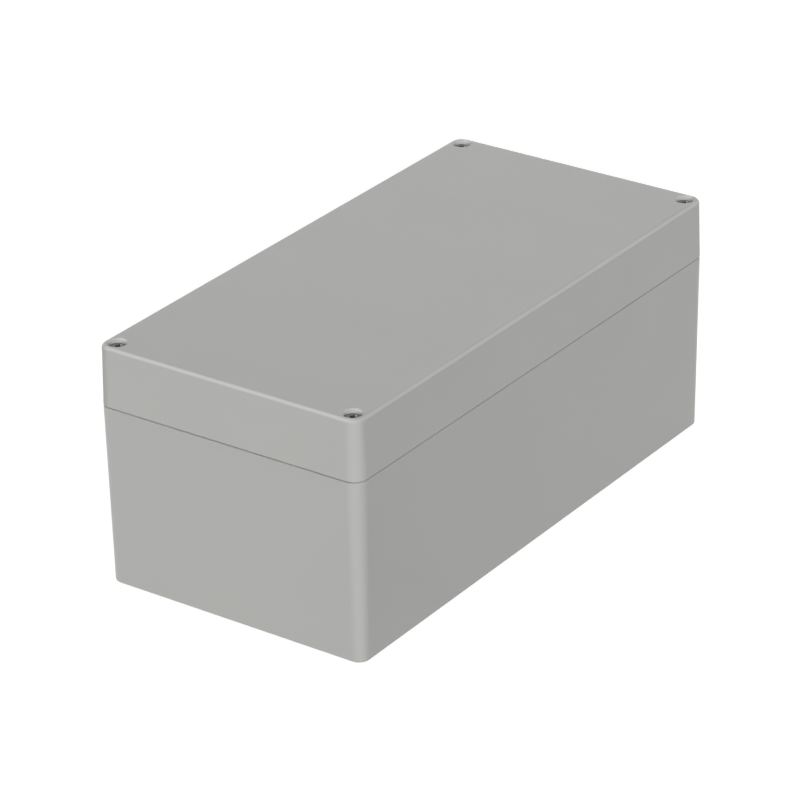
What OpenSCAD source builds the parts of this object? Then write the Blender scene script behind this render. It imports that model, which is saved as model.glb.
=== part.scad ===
// Wall-mount polycarbonate enclosure: a deep base and a lid that meet in a
// tongue-and-groove seal, held by four captive screws in the corners.
// Millimetres. The origin is the centre of the underside, +X runs along the
// length, -Y is the front and +Z points out through the lid.

/* [Enclosure] */
// Outside length at the parting line
length = 240; // [160:1:400]
// Outside width at the parting line
width = 120; // [100:1:240]
// Overall height with the lid on
height = 100; // [60:1:160]
// Height of the lid above the parting line
lid_height = 25; // [18:1:45]
// Wall thickness of both shells
wall = 3; // [2.6:0.1:4]
// Thickness of the floor of the base
floor_thickness = 3; // [2:0.1:5]
// Thickness of the top of the lid
top_thickness = 3; // [2:0.1:5]
// Outside corner radius at the parting line
corner_radius = 5.5; // [4:0.1:7]
// Draft of the walls of the base, in degrees
base_draft = 0.7; // [0:0.1:1.5]
// Draft of the walls of the lid, in degrees
lid_draft = 1.5; // [0:0.1:2.5]

/* [Edges] */
// Radius along the top edge of the lid
top_edge_radius = 1.6; // [0.4:0.1:2.4]
// Radius along the bottom edge of the base
bottom_edge_radius = 0.8; // [0.4:0.1:2]
// Radius along the outer rim of the base
rim_edge_radius = 0.8; // [0.2:0.1:1.2]
// Radius along the lower edge of the skirt of the lid
skirt_edge_radius = 0.2; // [0.1:0.05:0.4]
// Radius inside, where walls meet the floor or the top
inner_edge_radius = 1.5; // [0.5:0.1:2.5]

/* [Seal] */
// Open gap that shows between the two shells
parting_gap = 0.3; // [0.1:0.05:0.5]
// Thickness of the tongue that stands on the rim of the base
tongue_thickness = 1.4; // [1:0.1:1.6]
// Height of the tongue above the parting line
tongue_height = 3; // [2:0.1:5]
// Clearance on each side of the tongue in the groove of the lid
tongue_clearance = 0.3; // [0.15:0.05:0.5]
// Height of the gasket above the tongue
gasket_height = 2.5; // [1.5:0.1:4]
// Clearance on each side of the gasket in the groove
gasket_clearance = 0.05; // [0.02:0.01:0.15]
// Thickness of the rib inside the groove
rib_thickness = 1.4; // [1:0.1:2.5]
// How far that rib hangs below the parting line
rib_drop = 1; // [0.5:0.1:3]
// Material above the groove
groove_roof = 2; // [1:0.1:4]

/* [Corner pillars] */
// Lid screw axis from the two outside faces
screw_inset = 6.25; // [6:0.05:8]
// Mounting hole from the lid screw, along the width
mount_pitch = 12.75; // [11:0.05:18]
// Diameter of the mounting holes in the floor
mount_hole_d = 4.5; // [3.5:0.1:6]
// Diameter of the screwdriver channel above a mounting hole
mount_channel_d = 8.5; // [7.5:0.1:10]
// Thickness of the seat under the head of a mounting screw
mount_seat = 5; // [3:0.1:10]
// Material between a channel and the sealed space
pillar_wall = 3; // [2.6:0.1:5]
// Radius of the inner corner of a pillar
pillar_radius = 5; // [3.5:0.1:6]
// Radius where a pillar meets a wall
pillar_fillet = 4; // [3:0.1:5]

/* [Lid screws] */
// Thread diameter
thread_d = 4; // [3:0.1:4.2]
// Thread pitch
thread_pitch = 0.7; // [0.5:0.05:0.8]
// Turns that take the thread out of its insert
release_turns = 11; // [10:1:14]
// Length of the threaded end
thread_length = 7.3; // [6:0.1:7.5]
// Diameter of the neck between head and thread
neck_d = 3; // [2.2:0.1:3.2]
// Diameter of the head
head_d = 6.2; // [5.8:0.1:7.6]
// Height of the head
head_height = 2.6; // [2:0.1:3.6]
// Bevel around the top of the head
head_bevel = 0.3; // [0.2:0.1:0.7]
// Depth of the head below the top of the lid
head_depth = 1.5; // [0.5:0.1:4]
// Width of the cross recess over its wings
recess_d = 4.2; // [3.4:0.1:5]
// Depth of the cross recess
recess_depth = 1.9; // [1:0.1:1.9]
// Width of a wing of the cross recess
recess_wing = 1; // [0.7:0.05:1.3]
// Clearance around the head in its well
well_clearance = 0.2; // [0.15:0.05:0.6]
// Bevel at the mouth of the well
well_bevel = 0.7; // [0.2:0.1:0.8]
// Clearance around the thread in plain holes
shank_clearance = 0.2; // [0.1:0.05:0.3]

/* [Captive washers] */
// Outside diameter
washer_d = 6.6; // [6:0.1:6.9]
// Thickness
washer_thickness = 1; // [0.6:0.1:1.5]
// Clearance around the neck of the screw
washer_bore_clearance = 0.15; // [0.05:0.05:0.25]
// Clearance around the washer in its pocket
pocket_clearance = 0.3; // [0.15:0.05:0.5]
// Height of the washer above the parting line
washer_lift = 0.3; // [0.1:0.1:1]

/* [Threaded inserts] */
// Outside diameter
insert_d = 5.6; // [5.2:0.1:6]
// Length
insert_length = 6; // [4:0.1:6.5]
// Depth of the top of the insert below the parting line
insert_depth = 0.2; // [0:0.1:0.8]
// Depth of the retaining groove around the insert
insert_groove = 0.35; // [0.1:0.05:0.4]
// Clearance of the thread in the insert
insert_thread_clearance = 0.05; // [0.02:0.01:0.1]
// Clearance of the insert in its hole
insert_seat_clearance = 0.02; // [0.01:0.01:0.05]

/* [Board bosses] */
// Boss axis from the end faces
boss_inset_x = 22; // [19:0.5:40]
// Boss axis from the long faces
boss_inset_y = 15; // [10:0.5:30]
// Diameter at the top
boss_d = 8; // [6:0.1:9]
// Height above the floor
boss_height = 6; // [3:0.5:20]
// Draft of the boss, in degrees
boss_draft = 2; // [0.5:0.5:3]
// Diameter of the pilot hole
boss_hole_d = 3.2; // [2:0.1:4]
// Depth of the pilot hole
boss_hole_depth = 7; // [3:0.1:7.5]

/* [Hidden] */
$fn = 72;
overcut = 1;
round_overlap = 0.001;
shell_grey = [0.66, 0.66, 0.65];
steel_grey = [0.45, 0.45, 0.43];
nylon_white = [0.88, 0.87, 0.82];
brass_yellow = [0.78, 0.62, 0.32];
gasket_black = [0.1, 0.1, 0.1];

// Heights of the seal, measured from the underside
part_z = height - lid_height;
tongue_z = part_z + tongue_height;
groove_z = tongue_z + gasket_height;
ledge_z = groove_z + groove_roof;

// Distances of the seal outward from the inner wall line at the rim
groove_out = tongue_thickness + tongue_clearance;
groove_in = -tongue_clearance;
rib_in = groove_in - rib_thickness;
skirt = wall - groove_out;

// Pillars, measured inward from the outside faces
mount_inset = screw_inset + mount_pitch;
pillar_x = screw_inset + mount_channel_d / 2 + pillar_wall;
pillar_y = mount_inset + mount_channel_d / 2 + pillar_wall;

// Heights along a lid screw
head_top_z = height - head_depth;
head_seat_z = head_top_z - head_height;
release_travel = release_turns * thread_pitch;
washer_z = part_z + washer_lift;
pocket_z = washer_z + washer_thickness + release_travel;
insert_z = part_z - insert_depth - insert_length;

// Half the span between opposite walls, and between opposite pillars
wall_half = [length / 2 - wall, width / 2 - wall];
pillar_half = [length / 2 - pillar_x, width / 2 - pillar_y];
corner_axis = [length / 2 - corner_radius, width / 2 - corner_radius];
corner_signs = [[-1, -1], [1, -1], [-1, 1], [1, 1]];
corner_names = ["front_left", "front_right", "rear_left", "rear_right"];
corners = [0 : len(corner_names) - 1];

function corner_nodes(piece) = [for (c = corners) str(piece, "_", corner_names[c])];

// Helpers for sections and outlines

function unit(v) = v / norm(v);

// What a round of radius r takes off the corner p between two edges. It reaches
// past both edges, and the round just overlaps them, so that no step is left.
module corner_waste(p, edge_a, edge_b, r) {
    a = unit(edge_a);
    b = unit(edge_b);
    half_angle = acos(a * b) / 2;
    reach = r / tan(half_angle);
    centre = p + unit(a + b) * r / sin(half_angle);
    translate(centre) difference() {
        scale(1 + overcut / r) translate(-centre)
            polygon(cross(a, b) > 0
                ? [p, p + a * reach, centre, p + b * reach]
                : [p, p + b * reach, centre, p + a * reach]);
        circle(r + round_overlap);
    }
}

// A rectangle with round corners, centred on the origin
module rounded_rectangle(half, r) {
    square([2 * half.x, 2 * (half.y - r)], center = true);
    square([2 * (half.x - r), 2 * half.y], center = true);
    for (s = corner_signs)
        translate([s.x * (half.x - r), s.y * (half.y - r)]) circle(r);
}

// Carries a section round a rectangle of upright axes, measured outward from them
module swept_block(axis, z_low, z_high) {
    translate([-axis.x, -axis.y, z_low])
        cube([2 * axis.x, 2 * axis.y, z_high - z_low]);
    for (k = [0 : 3]) {
        reach = k % 2 == 0 ? axis : [axis.y, axis.x];
        rotate(90 * k) {
            translate([reach.x, 0, 0]) rotate([90, 0, 0])
                linear_extrude(2 * reach.y, center = true) children();
            translate([reach.x, reach.y, 0]) rotate_extrude(angle = 90) children();
        }
    }
}

// Outline of the sealed space between the pillars, moved outward by a distance
module sealed_outline(outward) {
    inner = wall_half + [outward, outward];
    pillar = pillar_half + [outward, outward];
    r_wall = pillar_fillet + outward;
    r_pillar = pillar_radius - outward;
    rounded_rectangle([inner.x, pillar.y], r_wall);
    rounded_rectangle([pillar.x, inner.y], r_wall);
    for (s = corner_signs) scale([s.x, s.y]) translate(pillar)
        difference() {
            square(r_pillar);
            translate([r_pillar, r_pillar]) circle(r_pillar);
        }
}

// A band of the seal between two distances from the inner wall line
module seal_band(inner, outer, z_low, z_high) {
    translate([0, 0, z_low]) linear_extrude(z_high - z_low) difference() {
        sealed_outline(outer);
        sealed_outline(inner);
    }
}

// Section of the sealed space, outward from the axes of its fillets:
// open at z = 0 and closed at the depth
module space_section(depth, slope) {
    floor_r = pillar_fillet - depth * slope;
    difference() {
        polygon([[0, -depth], [floor_r, -depth], [pillar_fillet, 0], [0, 0]]);
        corner_waste([floor_r, -depth], [slope, 1], [-1, 0], inner_edge_radius);
    }
}

// Section of the round corner of a pillar, which spreads into the closed end
module pillar_section(depth, slope) {
    foot_r = pillar_radius + depth * slope;
    polygon([[0, -depth], [foot_r, -depth], [pillar_radius, 0], [0, 0]]);
    corner_waste([foot_r, -depth], [1, 0], [-slope, 1], inner_edge_radius);
}

// The space between drafted walls and pillars, with the sealed outline at z = 0
module sealed_space(depth, draft) {
    slope = tan(draft);
    inset = [pillar_fillet, pillar_fillet];
    swept_block([wall_half.x, pillar_half.y] - inset, -depth, 0) space_section(depth, slope);
    swept_block([pillar_half.x, wall_half.y] - inset, -depth, 0) space_section(depth, slope);
    for (s = corner_signs) scale([s.x, s.y, 1]) translate(pillar_half) difference() {
        translate([-pillar_radius, -pillar_radius, -depth])
            cube([2 * pillar_radius, 2 * pillar_radius, depth]);
        translate([pillar_radius, pillar_radius, 0])
            rotate_extrude() pillar_section(depth, slope);
    }
}

// Puts its children on the lid screw axis of a corner
module at_corner(c) {
    translate([corner_signs[c].x * (length / 2 - screw_inset),
               corner_signs[c].y * (width / 2 - screw_inset), 0]) children();
}

// Puts its children on the mounting hole of a corner
module at_mount(c) {
    at_corner(c) translate([0, -corner_signs[c].y * mount_pitch, 0]) children();
}

// A round cut between two heights
module bore(d, z_low, z_high) {
    translate([0, 0, z_low]) cylinder(d = d, h = z_high - z_low);
}

// Base

// Outside of the base, from the foot to the rim
module base_section() {
    slope = tan(base_draft);
    foot = [corner_radius - part_z * slope, 0];
    rim = [corner_radius, part_z];
    difference() {
        polygon([[0, 0], foot, rim, [0, part_z]]);
        corner_waste(foot, [slope, 1], [-1, 0], bottom_edge_radius);
        corner_waste(rim, [-1, 0], [-slope, -1], rim_edge_radius);
    }
}

// Boss for a board or a mounting plate
module board_boss() {
    spread = boss_height * tan(boss_draft);
    translate([0, 0, floor_thickness])
        cylinder(d1 = boss_d + 2 * spread, d2 = boss_d, h = boss_height);
}

module at_bosses() {
    for (x = [-1, 0, 1], y = [-1, 1])
        translate([x * (length / 2 - boss_inset_x), y * (width / 2 - boss_inset_y), 0]) children();
}

module base() {
    boss_top = floor_thickness + boss_height;
    insert_hole_d = insert_d + 2 * insert_seat_clearance;
    shank_hole_d = thread_d + 2 * shank_clearance;
    color(shell_grey) difference() {
        union() {
            difference() {
                union() {
                    swept_block(corner_axis, 0, part_z) base_section();
                    seal_band(0, tongue_thickness, part_z - tongue_thickness, tongue_z);
                }
                translate([0, 0, part_z]) sealed_space(part_z - floor_thickness, base_draft);
            }
            at_bosses() board_boss();
        }
        at_bosses() bore(boss_hole_d, boss_top - boss_hole_depth, boss_top + overcut);
        for (c = corners) {
            at_corner(c) bore(insert_hole_d, insert_z, part_z + overcut);
            at_corner(c) bore(shank_hole_d, insert_z - insert_length, insert_z + overcut);
            at_mount(c) bore(mount_channel_d, mount_seat, part_z + overcut);
            at_mount(c) bore(mount_hole_d, -overcut, mount_seat + overcut);
        }
    }
}

// Lid

// Outside of the lid: the pillars land on the base, the skirt stays clear of it
module lid_section() {
    slope = tan(lid_draft);
    land = corner_radius - skirt - tongue_clearance;
    skirt_z = part_z + parting_gap;
    hem = [corner_radius - parting_gap * slope, skirt_z];
    brow = [corner_radius - lid_height * slope, height];
    difference() {
        polygon([[0, part_z], [land, part_z], [land, skirt_z], hem, brow, [0, height]]);
        corner_waste(hem, [-slope, 1], [-1, 0], skirt_edge_radius);
        corner_waste(brow, [-1, 0], [slope, -1], top_edge_radius);
    }
}

// Well, shank hole and washer pocket for one lid screw
module lid_screw_cuts() {
    well_d = head_d + 2 * well_clearance;
    bore(well_d, head_seat_z, height + overcut);
    translate([0, 0, height - well_bevel])
        cylinder(d1 = well_d, d2 = well_d + 2 * (well_bevel + overcut), h = well_bevel + overcut);
    bore(thread_d + 2 * shank_clearance, pocket_z - overcut, head_seat_z + overcut);
    bore(washer_d + 2 * pocket_clearance, part_z - overcut, pocket_z);
}

module lid() {
    color(shell_grey) difference() {
        union() {
            difference() {
                swept_block(corner_axis, part_z, height) lid_section();
                translate([0, 0, part_z]) mirror([0, 0, 1])
                    sealed_space(lid_height - top_thickness, lid_draft);
            }
            seal_band(rib_in, tongue_thickness / 2, part_z - rib_drop, ledge_z);
        }
        seal_band(groove_in, groove_out, part_z - rib_drop - overcut, groove_z);
        for (c = corners) {
            at_corner(c) lid_screw_cuts();
            at_mount(c) bore(mount_channel_d, part_z - overcut, height - top_thickness - head_depth);
        }
    }
}

// Gasket, seated in the groove of the lid and resting on the tongue
module gasket() {
    color(gasket_black)
        seal_band(groove_in + gasket_clearance, groove_out - gasket_clearance, tongue_z, groove_z);
}

// Fasteners

// Brass insert with a retaining groove at half its length
module threaded_insert(c) {
    bore_r = thread_d / 2 + insert_thread_clearance;
    outer_r = insert_d / 2;
    middle = insert_length / 2;
    color(brass_yellow) at_corner(c) translate([0, 0, insert_z]) rotate_extrude() polygon([
        [bore_r, 0],
        [outer_r - insert_groove, 0],
        [outer_r, insert_groove],
        [outer_r, middle - insert_groove],
        [outer_r - insert_groove, middle],
        [outer_r, middle + insert_groove],
        [outer_r, insert_length],
        [bore_r, insert_length]
    ]);
}

// Washer that rides on the neck and keeps the screw in the lid
module captive_washer(c) {
    color(nylon_white) at_corner(c) translate([0, 0, washer_z]) difference() {
        cylinder(d = washer_d, h = washer_thickness);
        bore(neck_d + 2 * washer_bore_clearance, -overcut, washer_thickness + overcut);
    }
}

// Tapered cross recess, its top on the plane z = 0
module cross_recess() {
    tip_d = recess_wing;
    intersection() {
        translate([0, 0, -recess_depth])
            cylinder(d1 = tip_d, d2 = recess_d, h = recess_depth);
        for (turn = [0, 90]) rotate(turn)
            cube([recess_d, recess_wing, 2 * recess_depth], center = true);
    }
}

// Captive screw: cheese head, thin neck and a threaded end with a pointed tip
module lid_screw(c) {
    bevel = (thread_d - neck_d) / 2;
    tip_z = washer_z - thread_length;
    head_r = head_d / 2;
    color(steel_grey) at_corner(c) difference() {
        rotate_extrude() polygon([
            [0, tip_z],
            [neck_d / 2, tip_z],
            [thread_d / 2, tip_z + bevel],
            [thread_d / 2, washer_z],
            [neck_d / 2, washer_z],
            [neck_d / 2, head_seat_z],
            [head_r, head_seat_z],
            [head_r, head_top_z - head_bevel],
            [head_r - head_bevel, head_top_z],
            [0, head_top_z]
        ]);
        translate([0, 0, head_top_z]) cross_recess();
    }
}

base();
lid();
gasket();
for (c = corners) {
    threaded_insert(c);
    captive_washer(c);
    lid_screw(c);
}
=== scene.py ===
"""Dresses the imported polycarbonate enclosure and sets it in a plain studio.

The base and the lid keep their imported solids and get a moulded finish. The lid screws, captive
washers, threaded inserts and seal are modelled here in detail, in metres, and each of them stands
in the place of its plain solid.
"""

import logging
import math
from collections.abc import Callable, Iterator
from contextlib import contextmanager
from dataclasses import dataclass
from enum import Enum

import bmesh
import bpy
from mathutils import Matrix, Vector


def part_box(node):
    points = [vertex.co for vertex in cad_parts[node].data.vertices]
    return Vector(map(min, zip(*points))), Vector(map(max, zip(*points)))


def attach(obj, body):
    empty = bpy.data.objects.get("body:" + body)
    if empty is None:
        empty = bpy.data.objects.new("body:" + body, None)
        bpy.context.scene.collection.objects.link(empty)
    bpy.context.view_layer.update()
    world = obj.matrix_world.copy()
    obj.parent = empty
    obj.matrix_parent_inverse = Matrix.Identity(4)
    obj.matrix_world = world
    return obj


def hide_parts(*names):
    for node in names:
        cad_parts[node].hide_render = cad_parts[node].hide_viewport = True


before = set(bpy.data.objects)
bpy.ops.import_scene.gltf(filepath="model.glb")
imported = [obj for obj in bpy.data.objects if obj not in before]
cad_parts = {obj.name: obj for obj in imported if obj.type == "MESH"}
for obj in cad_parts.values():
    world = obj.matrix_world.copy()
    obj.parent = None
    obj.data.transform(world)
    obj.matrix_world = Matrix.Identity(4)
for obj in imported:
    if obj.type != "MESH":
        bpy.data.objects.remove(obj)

LOG = logging.getLogger("enclosure")
MM = 0.001
ORIGIN = Vector((0.0, 0.0, 0.0))
WHITE = (1.0, 1.0, 1.0, 1.0)

# Points closer than this are one point.
SAME_PLACE = 0.001 * MM

# On a level face the normal's Z is beyond the first two, on an upright one it is below the last.
LEVEL = 0.9
DEAD_LEVEL = 0.99
UPRIGHT = 0.1

# The profile of a bevel that is an arc of a circle.
ARC = 0.5

# A wave pattern of scale 1 runs through this many radians in a metre.
WAVE_RATE = 20.0

Colour = tuple[float, float, float]
Place = tuple[float, float, float]
FaceTest = Callable[[Vector, Vector], bool]
EdgeTest = Callable[[Vector, Vector], bool]


class Pick(Enum):
    """What an editing step selects."""

    VERT = "VERT"
    EDGE = "EDGE"
    FACE = "FACE"


class Join(Enum):
    """How one solid is joined to another."""

    UNION = "UNION"
    DIFFERENCE = "DIFFERENCE"
    INTERSECT = "INTERSECT"


class Task(Enum):
    """What a lamp is there for."""

    COLOUR = "colour"
    SHINE = "shine"


class Reach(Enum):
    """Which pieces a lamp is screened to shine on."""

    ALL = "all"
    BASE = "base"
    REST = "rest"


class Corner(Enum):
    """The four corners of the enclosure."""

    FRONT_LEFT = "front_left"
    FRONT_RIGHT = "front_right"
    REAR_LEFT = "rear_left"
    REAR_RIGHT = "rear_right"

    def axis(self, node: str) -> Vector:
        """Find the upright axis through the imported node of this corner.

        Args:
            node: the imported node's name without its corner.

        Returns:
            A point on the axis, at the height of the floor.
        """
        low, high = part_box(f"{node}_{self.value}")
        middle = (low + high) / 2
        return Vector((middle.x, middle.y, 0.0))


class Bench:
    """The small modelling steps that the sub-assemblies share."""

    @staticmethod
    def only(piece: bpy.types.Object) -> None:
        """Select one piece, make it active and deselect the rest.

        Args:
            piece: the piece to work on.
        """
        bpy.ops.object.select_all(action="DESELECT")
        piece.select_set(True)
        bpy.context.view_layer.objects.active = piece

    @staticmethod
    def settle(name: str) -> bpy.types.Object:
        """Name the piece that was just added and put its place into its mesh.

        Args:
            name: the piece's name.

        Returns:
            The piece, at the origin, unturned and unscaled.
        """
        piece = bpy.context.active_object
        piece.name = name
        piece.data.name = name
        Bench.only(piece)
        bpy.ops.object.transform_apply(location=True, rotation=True, scale=True)
        return piece

    @staticmethod
    def bar(name: str, radius: float, low: float, high: float, facets: int) -> bpy.types.Object:
        """Stand a round bar on the Z axis.

        Args:
            name: the bar's name.
            radius: its radius.
            low: the height of its lower end.
            high: the height of its upper end.
            facets: the number of its sides.

        Returns:
            The bar.
        """
        bpy.ops.object.select_all(action="DESELECT")
        bpy.ops.mesh.primitive_cylinder_add(
            vertices=facets, radius=radius, depth=high - low, location=(0.0, 0.0, (low + high) / 2)
        )
        return Bench.settle(name)

    @staticmethod
    @contextmanager
    def editing(piece: bpy.types.Object, pick: Pick) -> Iterator[None]:
        """Open one piece for editing, with nothing on it selected.

        Args:
            piece: the piece to shape.
            pick: what the step selects.

        Yields:
            Nothing, while the piece is open.
        """
        Bench.only(piece)
        bpy.ops.object.mode_set(mode="EDIT")
        bpy.ops.mesh.select_mode(type=pick.value)
        bpy.ops.mesh.select_all(action="DESELECT")
        yield
        bpy.ops.object.mode_set(mode="OBJECT")

    @staticmethod
    def pick_faces(piece: bpy.types.Object, wanted: FaceTest) -> None:
        """Select the faces of an open piece that pass a test.

        Args:
            piece: the piece that is open for editing.
            wanted: the test of a face's middle and normal.
        """
        bpy.ops.mesh.select_all(action="DESELECT")
        mesh = bmesh.from_edit_mesh(piece.data)
        for face in mesh.faces:
            face.select_set(wanted(face.calc_center_median(), face.normal))
        bmesh.update_edit_mesh(piece.data)

    @staticmethod
    def pick_edges(piece: bpy.types.Object, wanted: EdgeTest) -> None:
        """Select the edges of an open piece that pass a test.

        Args:
            piece: the piece that is open for editing.
            wanted: the test of an edge's two ends.
        """
        bpy.ops.mesh.select_all(action="DESELECT")
        mesh = bmesh.from_edit_mesh(piece.data)
        for edge in mesh.edges:
            edge.select_set(wanted(edge.verts[0].co, edge.verts[1].co))
        bmesh.update_edit_mesh(piece.data)

    @staticmethod
    def pick_ring(piece: bpy.types.Object, radius: float, height: float) -> None:
        """Select the edges of an open piece that run round the Z axis in one ring.

        Args:
            piece: the piece that is open for editing.
            radius: the ring's radius.
            height: the ring's height.
        """
        near = 0.02 * MM

        def on_ring(place: Vector) -> bool:
            """Say whether a point lies on the ring."""
            return abs(place.z - height) < near and abs(place.xy.length - radius) < near

        Bench.pick_edges(piece, lambda a, b: on_ring(a) and on_ring(b))

    @staticmethod
    def round_ring(
        piece: bpy.types.Object, radius: float, height: float, width: float, steps: int = 1
    ) -> None:
        """Bevel one ring of edges of a turned piece.

        Args:
            piece: the piece to shape.
            radius: the ring's radius.
            height: the ring's height.
            width: the bevel's width.
            steps: the number of faces across the bevel.
        """
        with Bench.editing(piece, Pick.EDGE):
            Bench.pick_ring(piece, radius, height)
            bpy.ops.mesh.bevel(offset=width, segments=steps, profile=ARC, affect="EDGES")

    @staticmethod
    def apply(piece: bpy.types.Object, modifier: bpy.types.Modifier) -> None:
        """Apply one modifier of a piece to its mesh."""
        Bench.only(piece)
        bpy.ops.object.modifier_apply(modifier=modifier.name)

    @staticmethod
    def combine(piece: bpy.types.Object, other: bpy.types.Object, join: Join) -> None:
        """Join a second solid to a piece and remove the second one.

        Args:
            piece: the piece that changes.
            other: the solid that is used up.
            join: how the two are joined.
        """
        modifier = piece.modifiers.new("join", "BOOLEAN")
        modifier.operation = join.value
        modifier.solver = "EXACT"
        modifier.object = other
        Bench.apply(piece, modifier)
        Bench.remove(other)

    @staticmethod
    def remove(piece: bpy.types.Object) -> None:
        """Delete a piece that is used up."""
        Bench.only(piece)
        bpy.ops.object.delete()

    @staticmethod
    def clean(piece: bpy.types.Object, crease: float) -> None:
        """Merge doubles, make triangles that face outwards and shade the rounds smooth.

        Args:
            piece: the piece to finish.
            crease: the angle in degrees above which an edge stays crisp.
        """
        near = 0.003 * MM
        with Bench.editing(piece, Pick.FACE):
            bpy.ops.mesh.select_all(action="SELECT")
            bpy.ops.mesh.remove_doubles(threshold=near)
            bpy.ops.mesh.dissolve_degenerate(threshold=near)
            bpy.ops.mesh.select_all(action="SELECT")
            bpy.ops.mesh.quads_convert_to_tris(quad_method="BEAUTY", ngon_method="BEAUTY")
            bpy.ops.mesh.normals_make_consistent(inside=False)
        Bench.only(piece)
        bpy.ops.object.shade_smooth_by_angle(angle=math.radians(crease))

    @staticmethod
    def copy_to(master: bpy.types.Object, name: str, axis: Vector) -> bpy.types.Object:
        """Copy a piece from the Z axis to an axis of its own.

        Args:
            master: the piece on the Z axis.
            name: the copy's name.
            axis: a point on the copy's axis.

        Returns:
            The copy, with a mesh of its own.
        """
        Bench.only(master)
        bpy.ops.object.duplicate()
        bpy.ops.transform.translate(value=axis)
        return Bench.settle(name)


@dataclass(frozen=True)
class Mottle:
    """A soft random pattern: the size of its grains, the number and strength of finer layers."""

    size: float
    layers: float = 2.0
    fineness: float = 0.5


class NodeBoard:
    """The node tree of one material, with short ways to add and join nodes."""

    # Nearly all of a random pattern's values lie between these two.
    dark_end: float = 0.3
    light_end: float = 0.7

    def __init__(self, name: str) -> None:
        """Start a material from the principled shader.

        Args:
            name: the material's name.
        """
        self.material = bpy.data.materials.new(name)
        self.material.use_nodes = True
        self.tree = self.material.node_tree
        self.shader = self.tree.nodes["Principled BSDF"]

    def put(self, kind: str, inputs: dict[str, object], **settings: object) -> bpy.types.Node:
        """Add one node.

        Args:
            kind: the node's type.
            inputs: values for its input sockets, by name.
            settings: values for the node's own properties.

        Returns:
            The new node.
        """
        node = self.tree.nodes.new(kind)
        for key, value in settings.items():
            setattr(node, key, value)
        for key, value in inputs.items():
            node.inputs[key].default_value = value
        return node

    def join(self, source: bpy.types.NodeSocket, target: bpy.types.NodeSocket) -> None:
        """Link an output to an input."""
        self.tree.links.new(source, target)

    def place(self, centre: Vector) -> bpy.types.NodeSocket:
        """Give object coordinates counted from a point.

        Args:
            centre: the point that becomes the pattern's middle.

        Returns:
            The vector socket to read a pattern with.
        """
        coordinates = self.put("ShaderNodeTexCoord", {})
        mapping = self.put("ShaderNodeMapping", {"Location": -centre})
        self.join(coordinates.outputs["Object"], mapping.inputs["Vector"])
        return mapping.outputs["Vector"]

    def noise(self, place: bpy.types.NodeSocket, mottle: Mottle) -> bpy.types.NodeSocket:
        """Add a soft random pattern.

        Args:
            place: the coordinates that it reads.
            mottle: what the pattern is like.

        Returns:
            The pattern's value, from 0 to 1.
        """
        node = self.put(
            "ShaderNodeTexNoise",
            {"Scale": 1.0 / mottle.size, "Detail": mottle.layers, "Roughness": mottle.fineness},
        )
        self.join(place, node.inputs["Vector"])
        return node.outputs["Fac"]

    def spread(self, value: bpy.types.NodeSocket, low: float, high: float) -> bpy.types.NodeSocket:
        """Spread the middle of a pattern over a range.

        Args:
            value: the pattern.
            low: what its dark parts become.
            high: what its light parts become.

        Returns:
            The new value.
        """
        node = self.put(
            "ShaderNodeMapRange",
            {"From Min": self.dark_end, "From Max": self.light_end, "To Min": low, "To Max": high},
        )
        self.join(value, node.inputs["Value"])
        return node.outputs["Result"]

    def tint(self, value: bpy.types.NodeSocket, dark: Colour, light: Colour) -> None:
        """Blend the base colour between two tones.

        Args:
            value: the pattern that chooses the tone.
            dark: the tone of its dark parts.
            light: the tone of its light parts.
        """
        node = self.put("ShaderNodeMix", {}, data_type="RGBA")
        node.inputs["A"].default_value = (*dark, 1.0)
        node.inputs["B"].default_value = (*light, 1.0)
        self.join(self.spread(value, 0.0, 1.0), node.inputs["Factor"])
        self.join(node.outputs["Result"], self.shader.inputs["Base Color"])

    def gloss(self, value: bpy.types.NodeSocket, low: float, high: float) -> None:
        """Vary the roughness from low in a pattern's dark parts to high in its light ones."""
        self.join(self.spread(value, low, high), self.shader.inputs["Roughness"])

    def emboss(self, value: bpy.types.NodeSocket, depth: float) -> None:
        """Raise a pattern from the surface.

        Args:
            value: the pattern.
            depth: the height of its light parts over its dark ones.
        """
        node = self.put("ShaderNodeBump", {"Strength": 1.0, "Distance": depth})
        self.join(value, node.inputs["Height"])
        self.join(node.outputs["Normal"], self.shader.inputs["Normal"])


def shade(colour: Colour, factor: float) -> Colour:
    """Make a tone lighter or darker.

    Args:
        colour: the tone in linear light.
        factor: what each channel is multiplied by.

    Returns:
        The new tone.
    """
    return (colour[0] * factor, colour[1] * factor, colour[2] * factor)


def grey(tone: float) -> tuple[float, float, float, float]:
    """Give a neutral tone as an opaque colour."""
    return (tone, tone, tone, 1.0)


@dataclass(frozen=True)
class MouldedPolycarbonate:
    """Light grey polycarbonate with an even, finely textured mould surface."""

    colour: Colour = (0.385, 0.387, 0.3735)
    variation: float = 0.012
    flow: Mottle = Mottle(45.0 * MM)
    grain: Mottle = Mottle(0.42 * MM, fineness=0.6)
    grain_depth: float = 0.0035 * MM
    roughness: float = 0.37
    roughness_change: float = 0.03
    refraction: float = 1.58
    specular: float = 0.28

    def material(self, name: str) -> bpy.types.Material:
        """Make the finish.

        Args:
            name: the material's name.

        Returns:
            The material.
        """
        board = NodeBoard(name)
        place = board.place(ORIGIN)
        flow = board.noise(place, self.flow)
        grain = board.noise(place, self.grain)
        dark = shade(self.colour, 1.0 - self.variation)
        light = shade(self.colour, 1.0 + self.variation)
        board.tint(flow, dark, light)
        board.gloss(
            grain, self.roughness - self.roughness_change, self.roughness + self.roughness_change
        )
        board.emboss(grain, self.grain_depth)
        board.shader.inputs["IOR"].default_value = self.refraction
        board.shader.inputs["Specular IOR Level"].default_value = self.specular
        return board.material


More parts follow.
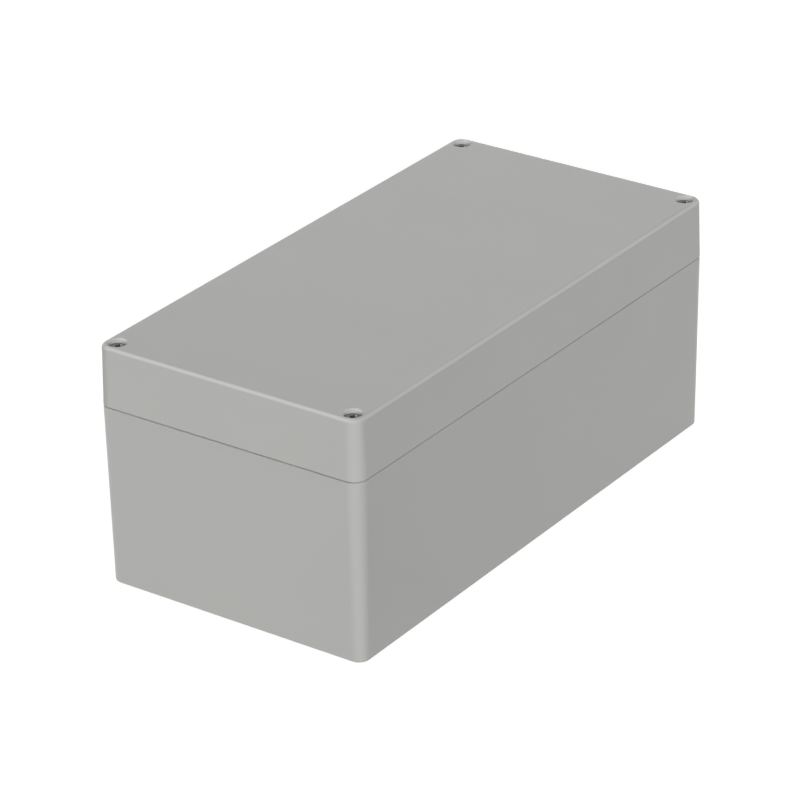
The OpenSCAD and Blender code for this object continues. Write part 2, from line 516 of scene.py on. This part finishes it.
@dataclass(frozen=True)
class TurnedSteel:
    """Dull dark steel with the fine rings that a lathe leaves."""

    dark: Colour = (0.10, 0.098, 0.090)
    light: Colour = (0.21, 0.207, 0.195)
    stain: Mottle = Mottle(0.9 * MM, layers=3.0, fineness=0.55)
    ring_pitch: float = 0.16 * MM
    ring_depth: float = 0.004 * MM
    ring_waver: float = 1.5
    ring_layers: float = 2.0
    dull_roughness: float = 0.42
    bright_roughness: float = 0.26

    def material(self, name: str, axis: Vector) -> bpy.types.Material:
        """Make the finish of a screw.

        Args:
            name: the material's name.
            axis: a point on the screw's axis.

        Returns:
            The material.
        """
        board = NodeBoard(name)
        place = board.place(axis)
        stain = board.noise(place, self.stain)
        board.tint(stain, self.dark, self.light)
        board.gloss(stain, self.dull_roughness, self.bright_roughness)
        rings = board.put(
            "ShaderNodeTexWave",
            {
                "Scale": math.tau / WAVE_RATE / self.ring_pitch,
                "Distortion": self.ring_waver,
                "Detail": self.ring_layers,
            },
            wave_type="RINGS",
            rings_direction="Z",
        )
        board.join(place, rings.inputs["Vector"])
        board.emboss(rings.outputs["Fac"], self.ring_depth)
        board.shader.inputs["Metallic"].default_value = 1.0
        return board.material


@dataclass(frozen=True)
class TurnedBrass:
    """Yellow brass, slightly dulled in patches."""

    dark: Colour = (0.42, 0.27, 0.085)
    light: Colour = (0.62, 0.44, 0.17)
    patch: Mottle = Mottle(1.4 * MM, layers=3.0)
    scratch: Mottle = Mottle(0.12 * MM, fineness=0.6)
    scratch_depth: float = 0.003 * MM
    dull_roughness: float = 0.42
    bright_roughness: float = 0.3

    def material(self, name: str) -> bpy.types.Material:
        """Make the finish.

        Args:
            name: the material's name.

        Returns:
            The material.
        """
        board = NodeBoard(name)
        place = board.place(ORIGIN)
        patch = board.noise(place, self.patch)
        board.tint(patch, self.dark, self.light)
        board.gloss(patch, self.dull_roughness, self.bright_roughness)
        board.emboss(board.noise(place, self.scratch), self.scratch_depth)
        board.shader.inputs["Metallic"].default_value = 1.0
        return board.material


@dataclass(frozen=True)
class SealRubber:
    """Soft dark rubber with a dusty skin."""

    dark: Colour = (0.012, 0.012, 0.012)
    light: Colour = (0.030, 0.030, 0.031)
    dust: Mottle = Mottle(3.0 * MM, layers=4.0, fineness=0.6)
    skin: Mottle = Mottle(0.25 * MM, layers=3.0, fineness=0.6)
    skin_depth: float = 0.012 * MM
    clean_roughness: float = 0.54
    dusty_roughness: float = 0.72
    specular: float = 0.35

    def material(self, name: str) -> bpy.types.Material:
        """Make the finish.

        Args:
            name: the material's name.

        Returns:
            The material.
        """
        board = NodeBoard(name)
        place = board.place(ORIGIN)
        dust = board.noise(place, self.dust)
        board.tint(dust, self.dark, self.light)
        board.gloss(dust, self.clean_roughness, self.dusty_roughness)
        board.emboss(board.noise(place, self.skin), self.skin_depth)
        board.shader.inputs["Specular IOR Level"].default_value = self.specular
        return board.material


@dataclass(frozen=True)
class NaturalPolyamide:
    """Uncoloured polyamide, creamy and a little waxy."""

    dark: Colour = (0.60, 0.575, 0.49)
    light: Colour = (0.72, 0.70, 0.62)
    cloud: Mottle = Mottle(2.2 * MM)
    skin: Mottle = Mottle(0.2 * MM)
    skin_depth: float = 0.004 * MM
    dull_roughness: float = 0.48
    waxy_roughness: float = 0.36

    def material(self, name: str) -> bpy.types.Material:
        """Make the finish.

        Args:
            name: the material's name.

        Returns:
            The material.
        """
        board = NodeBoard(name)
        place = board.place(ORIGIN)
        cloud = board.noise(place, self.cloud)
        board.tint(cloud, self.dark, self.light)
        board.gloss(cloud, self.dull_roughness, self.waxy_roughness)
        board.emboss(board.noise(place, self.skin), self.skin_depth)
        return board.material


@dataclass
class Shells:
    """The moulded base and lid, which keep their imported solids."""

    finish: MouldedPolycarbonate

    def dress(self) -> None:
        """Give the base and the lid their moulded finish."""
        for name in ("base", "lid"):
            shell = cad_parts[name]
            shell.data.materials.clear()
            shell.data.materials.append(self.finish.material(f"moulded_{name}"))
            LOG.info("dressed %s", name)


@dataclass
class MetricThread:
    """A right-hand thread of standard form, made as a rod that shapes a bar or cuts a bore.

    The flank and the crest are shares of the pitch, and the steps are those of one turn.
    """

    pitch: float = 0.7 * MM
    flank: float = 0.354
    crest: float = 0.125
    depth: float = 0.43 * MM
    turns_below: int = 2
    turns_above: int = 1
    steps: int = 36

    def rod(self, name: str, radius: float, low: float, high: float) -> bpy.types.Object:
        """Wind the thread's section round the Z axis, past both ends of the rod.

        Args:
            name: the rod's name.
            radius: the radius over the crests.
            low: the height that the rod has to reach down to.
            high: the height that it has to reach up to.

        Returns:
            The closed rod.
        """
        turns = math.ceil((high - low) / self.pitch) + self.turns_below + self.turns_above
        start = low - self.turns_below * self.pitch
        root = 1.0 - 2 * self.flank - self.crest
        path = (
            (self.depth, 0.0, self.flank * self.pitch),
            (0.0, 0.0, self.crest * self.pitch),
            (-self.depth, 0.0, self.flank * self.pitch),
            (0.0, 0.0, root * self.pitch),
        )
        bpy.ops.object.select_all(action="DESELECT")
        bpy.ops.mesh.primitive_plane_add(size=self.pitch)
        rod = Bench.settle(name)
        with Bench.editing(rod, Pick.VERT):
            bpy.ops.mesh.select_all(action="SELECT")
            bpy.ops.mesh.merge(type="CENTER")
            bpy.ops.transform.translate(value=(radius - self.depth, 0.0, start))
            for step in path:
                bpy.ops.mesh.extrude_region_move(TRANSFORM_OT_translate={"value": step})
        helix = rod.modifiers.new("helix", "SCREW")
        helix.angle = math.tau
        helix.screw_offset = self.pitch
        helix.iterations = turns
        helix.steps = self.steps
        helix.render_steps = self.steps
        Bench.apply(rod, helix)
        with Bench.editing(rod, Pick.VERT):
            bpy.ops.mesh.select_all(action="SELECT")
            bpy.ops.mesh.remove_doubles(threshold=SAME_PLACE)
            bpy.ops.mesh.fill_holes(sides=0)
            bpy.ops.mesh.normals_make_consistent(inside=False)
        return rod


@dataclass
class LidScrews:
    """The captive screws, with a cheese head, a cross recess, a thin neck and a cut thread."""

    finish: TurnedSteel
    thread: MetricThread
    head_radius: float = 3.1 * MM
    head_height: float = 2.6 * MM
    head_round: float = 0.3 * MM
    head_round_steps: int = 5
    head_foot_round: float = 0.12 * MM
    head_foot_steps: int = 2
    neck_radius: float = 1.5 * MM
    neck_fillet: float = 0.25 * MM
    neck_fillet_steps: int = 3
    thread_radius: float = 2.0 * MM
    thread_length: float = 7.3 * MM
    crest_trim: float = 0.02 * MM
    tip_bevel: float = 0.5 * MM
    runout_bevel: float = 0.3 * MM
    recess_reach: float = 2.1 * MM
    recess_width: float = 1.0 * MM
    recess_taper: float = 0.7
    recess_depth: float = 1.9 * MM
    recess_foot: float = 0.5 * MM
    recess_core: float = 1.05 * MM
    recess_core_facets: int = 24
    recess_round: float = 0.07 * MM
    recess_round_steps: int = 2
    punch_overshoot: float = 0.2 * MM
    rim_margin: float = 0.1 * MM
    facets: int = 72
    crease: float = 32.0

    def build(self) -> None:
        """Model one screw and set a copy in each corner."""
        low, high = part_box(f"lid_screw_{Corner.FRONT_LEFT.value}")
        master = self.turn_blank(low.z, high.z)
        Bench.combine(master, self.cut_thread(low.z), Join.UNION)
        Bench.combine(master, self.forge_recess(high.z), Join.DIFFERENCE)
        self.ease_recess(master, high.z)
        Bench.clean(master, self.crease)
        for corner in Corner:
            axis = corner.axis("lid_screw")
            screw = Bench.copy_to(master, f"cross_screw_{corner.value}", axis)
            screw.data.materials.append(self.finish.material(f"turned_steel_{corner.value}", axis))
            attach(screw, f"screw_{corner.value}")
            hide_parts(f"lid_screw_{corner.value}")
            LOG.info("set %s", screw.name)
        Bench.remove(master)

    def turn_blank(self, low: float, high: float) -> bpy.types.Object:
        """Turn the head and the neck.

        Args:
            low: the height of the screw's tip.
            high: the height of the top of its head.

        Returns:
            The head and neck on the Z axis.
        """
        seat = high - self.head_height
        neck_end = low + self.thread_length - self.runout_bevel - self.thread.pitch
        blank = Bench.bar("screw_blank", self.head_radius, seat, high, self.facets)
        with Bench.editing(blank, Pick.FACE):
            Bench.pick_faces(blank, lambda middle, normal: normal.z < -LEVEL)
            across = (self.head_radius - self.neck_radius) * math.cos(math.pi / self.facets)
            bpy.ops.mesh.inset(thickness=across)
            bpy.ops.mesh.extrude_region_move(
                TRANSFORM_OT_translate={"value": (0.0, 0.0, neck_end - seat)}
            )
        Bench.round_ring(blank, self.head_radius, high, self.head_round, self.head_round_steps)
        Bench.round_ring(blank, self.head_radius, seat, self.head_foot_round, self.head_foot_steps)
        Bench.round_ring(blank, self.neck_radius, seat, self.neck_fillet, self.neck_fillet_steps)
        return blank

    def cut_thread(self, low: float) -> bpy.types.Object:
        """Cut the thread out of a bar with bevelled ends.

        Args:
            low: the height of the screw's tip.

        Returns:
            The threaded length on the Z axis.
        """
        top = low + self.thread_length
        bar = Bench.bar("screw_thread", self.thread_radius, low, top, self.facets)
        Bench.round_ring(bar, self.thread_radius, low, self.tip_bevel)
        Bench.round_ring(bar, self.thread_radius, top, self.runout_bevel)
        rod = self.thread.rod("thread_helix", self.thread_radius + self.crest_trim, low, top)
        Bench.combine(bar, rod, Join.INTERSECT)
        return bar

    def forge_recess(self, high: float) -> bpy.types.Object:
        """Shape the punch that forms the cross recess: two tapered wings and a core.

        Args:
            high: the height of the top of the head.

        Returns:
            The punch on the Z axis.
        """
        foot = high - self.recess_depth
        crown = high + self.punch_overshoot
        punch = self.wing("recess_wing", foot, crown)
        Bench.only(punch)
        bpy.ops.object.duplicate()
        bpy.ops.transform.rotate(value=math.pi / 2, orient_axis="Z", center_override=ORIGIN)
        crosswise = Bench.settle("recess_crosswise")
        Bench.combine(punch, crosswise, Join.UNION)
        bpy.ops.object.select_all(action="DESELECT")
        bpy.ops.mesh.primitive_cone_add(
            vertices=self.recess_core_facets,
            radius1=self.recess_foot,
            radius2=self.recess_core,
            depth=crown - foot,
            location=(0.0, 0.0, (crown + foot) / 2),
        )
        core = Bench.settle("recess_core")
        Bench.combine(punch, core, Join.UNION)
        return punch

    def wing(self, name: str, foot: float, crown: float) -> bpy.types.Object:
        """Taper one bar of the cross towards its foot.

        Args:
            name: the bar's name.
            foot: the height of its lower end.
            crown: the height of its upper end.

        Returns:
            The bar, lying along X.
        """
        bpy.ops.object.select_all(action="DESELECT")
        bpy.ops.mesh.primitive_cube_add(
            size=1.0,
            location=(0.0, 0.0, (foot + crown) / 2),
            scale=(2 * self.recess_reach, self.recess_width, crown - foot),
        )
        bar = Bench.settle(name)
        narrow = self.recess_foot / self.recess_reach
        with Bench.editing(bar, Pick.FACE):
            Bench.pick_faces(bar, lambda middle, normal: normal.z < -LEVEL)
            bpy.ops.transform.resize(
                value=(narrow, self.recess_taper, 1.0), center_override=(0.0, 0.0, foot)
            )
        return bar

    def ease_recess(self, screw: bpy.types.Object, high: float) -> None:
        """Round the rim that the punch leaves on the head.

        Args:
            screw: the screw on the Z axis.
            high: the height of the top of its head.
        """
        inside = self.head_radius - self.head_round - self.rim_margin
        near = 0.005 * MM

        def on_rim(place: Vector) -> bool:
            """Say whether a point lies on the recess's rim."""
            return abs(place.z - high) < near and place.xy.length < inside

        with Bench.editing(screw, Pick.EDGE):
            bpy.ops.mesh.select_all(action="DESELECT")
            mesh = bmesh.from_edit_mesh(screw.data)
            for edge in mesh.edges:
                flats = [face for face in edge.link_faces if face.normal.z > DEAD_LEVEL]
                rim = len(flats) == 1 and all(on_rim(vert.co) for vert in edge.verts)
                edge.select_set(rim)
            bmesh.update_edit_mesh(screw.data)
            bpy.ops.mesh.bevel(
                offset=self.recess_round,
                segments=self.recess_round_steps,
                profile=ARC,
                affect="EDGES",
            )


@dataclass
class CaptiveWashers:
    """The soft washers that keep the screws in the lid."""

    finish: NaturalPolyamide
    bore_radius: float = 1.65 * MM
    edge_round: float = 0.18 * MM
    edge_round_steps: int = 3
    stop_gap: float = 0.03 * MM
    facets: int = 64
    crease: float = 40.0

    def build(self) -> None:
        """Model one washer and set a copy in each corner.

        The gap at the top keeps a raised washer just clear of its pocket's roof.
        """
        low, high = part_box(f"captive_washer_{Corner.FRONT_LEFT.value}")
        radius = (high.x - low.x) / 2
        top = high.z - self.stop_gap
        master = Bench.bar("washer_blank", radius, low.z, top, self.facets)
        across = (radius - self.bore_radius) * math.cos(math.pi / self.facets)
        with Bench.editing(master, Pick.FACE):
            Bench.pick_faces(master, lambda middle, normal: abs(normal.z) > LEVEL)
            bpy.ops.mesh.inset(thickness=across)
            bpy.ops.mesh.bridge_edge_loops()
        for ring in (radius, self.bore_radius):
            for height in (low.z, top):
                Bench.round_ring(master, ring, height, self.edge_round, self.edge_round_steps)
        Bench.clean(master, self.crease)
        material = self.finish.material("natural_polyamide")
        for corner in Corner:
            axis = corner.axis("captive_washer")
            washer = Bench.copy_to(master, f"soft_washer_{corner.value}", axis)
            washer.data.materials.append(material)
            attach(washer, f"washer_{corner.value}")
            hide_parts(f"captive_washer_{corner.value}")
            LOG.info("set %s", washer.name)
        Bench.remove(master)


@dataclass
class ThreadedInserts:
    """The knurled brass inserts that take the lid screws."""

    finish: TurnedBrass
    thread: MetricThread
    bore_radius: float = 2.05 * MM
    groove_width: float = 1.2 * MM
    groove_depth: float = 0.35 * MM
    knurl_depth: float = 0.12 * MM
    outside_share: float = 0.99
    end_bevel: float = 0.2 * MM
    facets: int = 56
    crease: float = 30.0

    def build(self) -> None:
        """Model one insert and set a copy in each corner."""
        low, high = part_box(f"threaded_insert_{Corner.FRONT_LEFT.value}")
        radius = (high.x - low.x) / 2
        master = Bench.bar("insert_blank", radius, low.z, high.z, self.facets)
        self.groove(master, (low.z + high.z) / 2)
        for height in (low.z, high.z):
            Bench.round_ring(master, radius, height, self.end_bevel)
        self.knurl(master, radius)
        cutter = self.thread.rod("tap", self.bore_radius, low.z, high.z)
        Bench.combine(master, cutter, Join.DIFFERENCE)
        Bench.clean(master, self.crease)
        material = self.finish.material("turned_brass")
        for corner in Corner:
            axis = corner.axis("threaded_insert")
            insert = Bench.copy_to(master, f"knurled_insert_{corner.value}", axis)
            insert.data.materials.append(material)
            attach(insert, "base")
            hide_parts(f"threaded_insert_{corner.value}")
            LOG.info("set %s", insert.name)
        Bench.remove(master)

    def groove(self, insert: bpy.types.Object, middle_height: float) -> None:
        """Sink a groove round the middle of the insert.

        Args:
            insert: the insert on the Z axis.
            middle_height: the height of the groove's middle.
        """
        half = self.groove_width / 2

        def between_cuts(middle: Vector, normal: Vector) -> bool:
            """Say whether an upright face lies between the two cuts."""
            return abs(middle.z - middle_height) < half / 2 and abs(normal.z) < UPRIGHT

        with Bench.editing(insert, Pick.FACE):
            for height in (middle_height - half, middle_height + half):
                bpy.ops.mesh.select_all(action="SELECT")
                bpy.ops.mesh.bisect(plane_co=(0.0, 0.0, height), plane_no=(0.0, 0.0, 1.0))
            Bench.pick_faces(insert, between_cuts)
            bpy.ops.mesh.extrude_region_shrink_fatten(
                TRANSFORM_OT_shrink_fatten={"value": -self.groove_depth}
            )

    def knurl(self, insert: bpy.types.Object, radius: float) -> None:
        """Sink every second strip of the outside, so that ribs stand between them.

        Args:
            insert: the insert on the Z axis.
            radius: its outer radius.
        """
        strip = math.tau / self.facets

        def every_second(middle: Vector, normal: Vector) -> bool:
            """Say whether a face is one of the strips to sink.

            Args:
                middle: the face's middle.
                normal: its normal.

            Returns:
                Whether it is upright, on the very outside and in an even strip.
            """
            outside = abs(normal.z) < UPRIGHT and middle.xy.length > radius * self.outside_share
            number = math.floor(math.atan2(middle.y, middle.x) / strip + self.facets / 2)
            return outside and number % 2 == 0

        with Bench.editing(insert, Pick.FACE):
            Bench.pick_faces(insert, every_second)
            bpy.ops.mesh.extrude_region_shrink_fatten(
                TRANSFORM_OT_shrink_fatten={"value": -self.knurl_depth}
            )


@dataclass
class Seal:
    """The soft cord in the groove of the lid, with its angles in degrees."""

    finish: SealRubber
    edge_round: float = 0.55 * MM
    edge_round_steps: int = 4
    edge_angle: float = 60.0
    flat_angle: float = 0.5
    crease: float = 40.0

    def build(self) -> None:
        """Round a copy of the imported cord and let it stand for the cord."""
        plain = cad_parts["gasket"]
        cord = bpy.data.objects.new("seal_cord", plain.data.copy())
        cord.data.name = "seal_cord"
        bpy.context.collection.objects.link(cord)
        Bench.only(cord)
        bpy.ops.mesh.customdata_custom_splitnormals_clear()
        with Bench.editing(cord, Pick.VERT):
            bpy.ops.mesh.select_all(action="SELECT")
            bpy.ops.mesh.remove_doubles(threshold=SAME_PLACE)
            bpy.ops.mesh.dissolve_limited(angle_limit=math.radians(self.flat_angle))
        rounding = cord.modifiers.new("rounding", "BEVEL")
        rounding.width = self.edge_round
        rounding.segments = self.edge_round_steps
        rounding.limit_method = "ANGLE"
        rounding.angle_limit = math.radians(self.edge_angle)
        Bench.apply(cord, rounding)
        Bench.clean(cord, self.crease)
        cord.data.materials.clear()
        cord.data.materials.append(self.finish.material("seal_rubber"))
        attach(cord, "lid")
        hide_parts("gasket")
        LOG.info("set %s", cord.name)


def outward(azimuth: float, elevation: float) -> Vector:
    """Give the direction from the object to a viewer or a lamp.

    Args:
        azimuth: the turn round the object, in degrees.
        elevation: the height above the horizon, in degrees.

    Returns:
        The unit direction.
    """
    turn = math.radians(azimuth)
    rise = math.radians(elevation)
    level = math.cos(rise)
    return Vector((math.sin(turn) * level, -math.cos(turn) * level, math.sin(rise)))


@dataclass(frozen=True)
class Lamp:
    """A far lamp that lights all that is in its reach evenly, with its angles in degrees."""

    name: str
    azimuth: float
    elevation: float
    strength: float
    angle: float
    task: Task
    reach: Reach = Reach.ALL
    distance: float = 2.0

    def screen(self, lamp: bpy.types.Object) -> None:
        """Screen the lamp off the base, or off everything but the base.

        Args:
            lamp: the lamp that was hung.
        """
        lit = bpy.data.collections.new(f"{self.name}_reach")
        lit.objects.link(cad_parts["base"])
        link = lit.collection_objects[0].light_linking
        link.link_state = "INCLUDE" if self.reach is Reach.BASE else "EXCLUDE"
        lamp.light_linking.receiver_collection = lit

    def hang(self) -> None:
        """Hang the lamp so that it shines on the object."""
        direction = outward(self.azimuth, self.elevation)
        bpy.ops.object.light_add(type="SUN", location=direction * self.distance)
        lamp = bpy.context.active_object
        lamp.name = self.name
        lamp.data.energy = self.strength
        lamp.data.angle = math.radians(self.angle)
        lamp.visible_diffuse = self.task is Task.COLOUR
        lamp.visible_glossy = self.task is Task.SHINE
        lamp.rotation_euler = direction.to_track_quat("Z", "Y").to_euler()
        if self.reach is not Reach.ALL:
            self.screen(lamp)
        LOG.info("hung %s", self.name)


@dataclass
class Studio:
    """The pale floor, the even surroundings, the lamps and the camera.

    Angles are in degrees, the lens and the sensor in millimetres.
    """

    lens: float = 174.94
    sensor: float = 36.0
    nearest: float = 0.05
    farthest: float = 50.0
    azimuth: float = -54.467
    elevation: float = 26.382
    roll: float = -1.139
    distance: float = 1521.154 * MM
    aim: Place = (-5.282 * MM, 2.871 * MM, 44.696 * MM)
    # The lid and the base get the same light. The base gets it from low and from
    # straight above, so that the joint under the lid's edge stays dark.
    lamps: tuple[Lamp, ...] = (
        Lamp(
            "key_lamp", azimuth=-55.4, elevation=22.8,
            strength=3.42, angle=10.0, task=Task.COLOUR, reach=Reach.REST,
        ),
        Lamp(
            "left_lamp", azimuth=-90.0, elevation=5.0,
            strength=2.51, angle=6.0, task=Task.COLOUR, reach=Reach.BASE,
        ),
        Lamp(
            "front_lamp", azimuth=0.0, elevation=15.0,
            strength=1.785, angle=6.0, task=Task.COLOUR, reach=Reach.BASE,
        ),
        Lamp(
            "top_lamp", azimuth=0.0, elevation=90.0,
            strength=0.64, angle=30.0, task=Task.COLOUR, reach=Reach.BASE,
        ),
        Lamp(
            "fill_lamp", azimuth=125.0, elevation=6.0,
            strength=2.6, angle=40.0, task=Task.COLOUR,
        ),
        Lamp(
            "left_edge_lamp", azimuth=-140.0, elevation=45.0,
            strength=3.15, angle=74.0, task=Task.SHINE, reach=Reach.REST,
        ),
        Lamp(
            "right_edge_lamp", azimuth=51.0, elevation=18.0,
            strength=1.0, angle=54.0, task=Task.SHINE, reach=Reach.REST,
        ),
    )
    surround: float = 0.25
    floor_size: float = 8.0
    floor_drop: float = 0.2 * MM
    floor_tone: float = 0.25
    floor_glow: float = 0.82
    floor_shadow_tone: float = 0.3

    def set_camera(self) -> None:
        """Put the camera at the photograph's viewing angle."""
        back = outward(self.azimuth, self.elevation)
        turn = math.radians(self.azimuth)
        level = Vector((math.cos(turn), math.sin(turn), 0.0))
        upright = back.cross(level)
        lean = math.radians(self.roll)
        right = level * math.cos(lean) + upright * math.sin(lean)
        up = back.cross(right)
        stance = Matrix((right, up, back)).transposed()
        place = Vector(self.aim) + back * self.distance
        bpy.ops.object.camera_add()
        camera = bpy.context.active_object
        camera.name = "studio_camera"
        camera.data.lens = self.lens
        camera.data.sensor_width = self.sensor
        camera.data.clip_start = self.nearest
        camera.data.clip_end = self.farthest
        camera.matrix_world = Matrix.Translation(place) @ stance.to_4x4()
        bpy.context.scene.camera = camera
        LOG.info("placed the camera")

    @staticmethod
    def seen_directly(tree: bpy.types.NodeTree) -> bpy.types.NodeSocket:
        """Add nodes that tell camera, glossy and transmission rays from the rest.

        Args:
            tree: the node tree to add them to.

        Returns:
            A value of 1 for those rays and 0 for the others.
        """
        path = tree.nodes.new("ShaderNodeLightPath")
        value = path.outputs["Is Camera Ray"]
        for name in ("Is Glossy Ray", "Is Transmission Ray"):
            either = tree.nodes.new("ShaderNodeMath")
            either.operation = "MAXIMUM"
            tree.links.new(value, either.inputs[0])
            tree.links.new(path.outputs[name], either.inputs[1])
            value = either.outputs["Value"]
        return value

    @staticmethod
    def split_view(
        tree: bpy.types.NodeTree,
        looks: bpy.types.NodeSocket,
        lights: bpy.types.NodeSocket,
        output: bpy.types.Node,
    ) -> None:
        """Show one shader to the eye, in gloss and through glass, and give light with another.

        Args:
            tree: the node tree to add nodes to.
            looks: the shader that is seen.
            lights: the shader for all other rays.
            output: the node that takes the result.
        """
        choose = tree.nodes.new("ShaderNodeMixShader")
        tree.links.new(Studio.seen_directly(tree), choose.inputs["Fac"])
        tree.links.new(lights, choose.inputs[1])
        tree.links.new(looks, choose.inputs[2])
        tree.links.new(choose.outputs["Shader"], output.inputs["Surface"])

    def set_surroundings(self) -> None:
        """Make the world white to look at and an even grey as a light."""
        world = bpy.data.worlds.new("studio_world")
        world.use_nodes = True
        tree = world.node_tree
        tree.nodes.clear()
        looks = tree.nodes.new("ShaderNodeBackground")
        looks.inputs["Color"].default_value = WHITE
        looks.inputs["Strength"].default_value = 1.0
        lights = tree.nodes.new("ShaderNodeBackground")
        lights.inputs["Color"].default_value = WHITE
        lights.inputs["Strength"].default_value = self.surround
        output = tree.nodes.new("ShaderNodeOutputWorld")
        self.split_view(tree, looks.outputs["Background"], lights.outputs["Background"], output)
        bpy.context.scene.world = world
        LOG.info("set the surroundings")

    def lay_floor(self) -> None:
        """Lay a pale floor that looks white and keeps a faint shadow."""
        bpy.ops.object.select_all(action="DESELECT")
        place = (0.0, 0.0, -self.floor_drop)
        bpy.ops.mesh.primitive_plane_add(size=self.floor_size, location=place)
        floor = Bench.settle("studio_floor")
        material = bpy.data.materials.new("pale_floor")
        material.use_nodes = True
        tree = material.node_tree
        tree.nodes.clear()
        tone = tree.nodes.new("ShaderNodeBsdfDiffuse")
        tone.inputs["Color"].default_value = grey(self.floor_tone)
        shadow = tree.nodes.new("ShaderNodeBsdfDiffuse")
        shadow.inputs["Color"].default_value = grey(self.floor_shadow_tone)
        glow = tree.nodes.new("ShaderNodeEmission")
        glow.inputs["Color"].default_value = WHITE
        glow.inputs["Strength"].default_value = self.floor_glow
        both = tree.nodes.new("ShaderNodeAddShader")
        tree.links.new(shadow.outputs["BSDF"], both.inputs[0])
        tree.links.new(glow.outputs["Emission"], both.inputs[1])
        output = tree.nodes.new("ShaderNodeOutputMaterial")
        self.split_view(tree, both.outputs["Shader"], tone.outputs["BSDF"], output)
        floor.data.materials.append(material)
        LOG.info("laid the floor")

    def build(self) -> None:
        """Set up the whole studio."""
        bpy.context.scene.view_settings.view_transform = "Standard"
        self.set_camera()
        for lamp in self.lamps:
            lamp.hang()
        self.set_surroundings()
        self.lay_floor()


def main() -> None:
    """Build the enclosure's pieces in order and set them in the studio."""
    logging.basicConfig(level=logging.INFO, format="%(name)s: %(message)s")
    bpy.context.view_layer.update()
    thread = MetricThread()
    Studio().build()
    Shells(MouldedPolycarbonate()).dress()
    LidScrews(TurnedSteel(), thread).build()
    CaptiveWashers(NaturalPolyamide()).build()
    ThreadedInserts(TurnedBrass(), thread).build()
    Seal(SealRubber()).build()


if __name__ == "__main__":
    main()
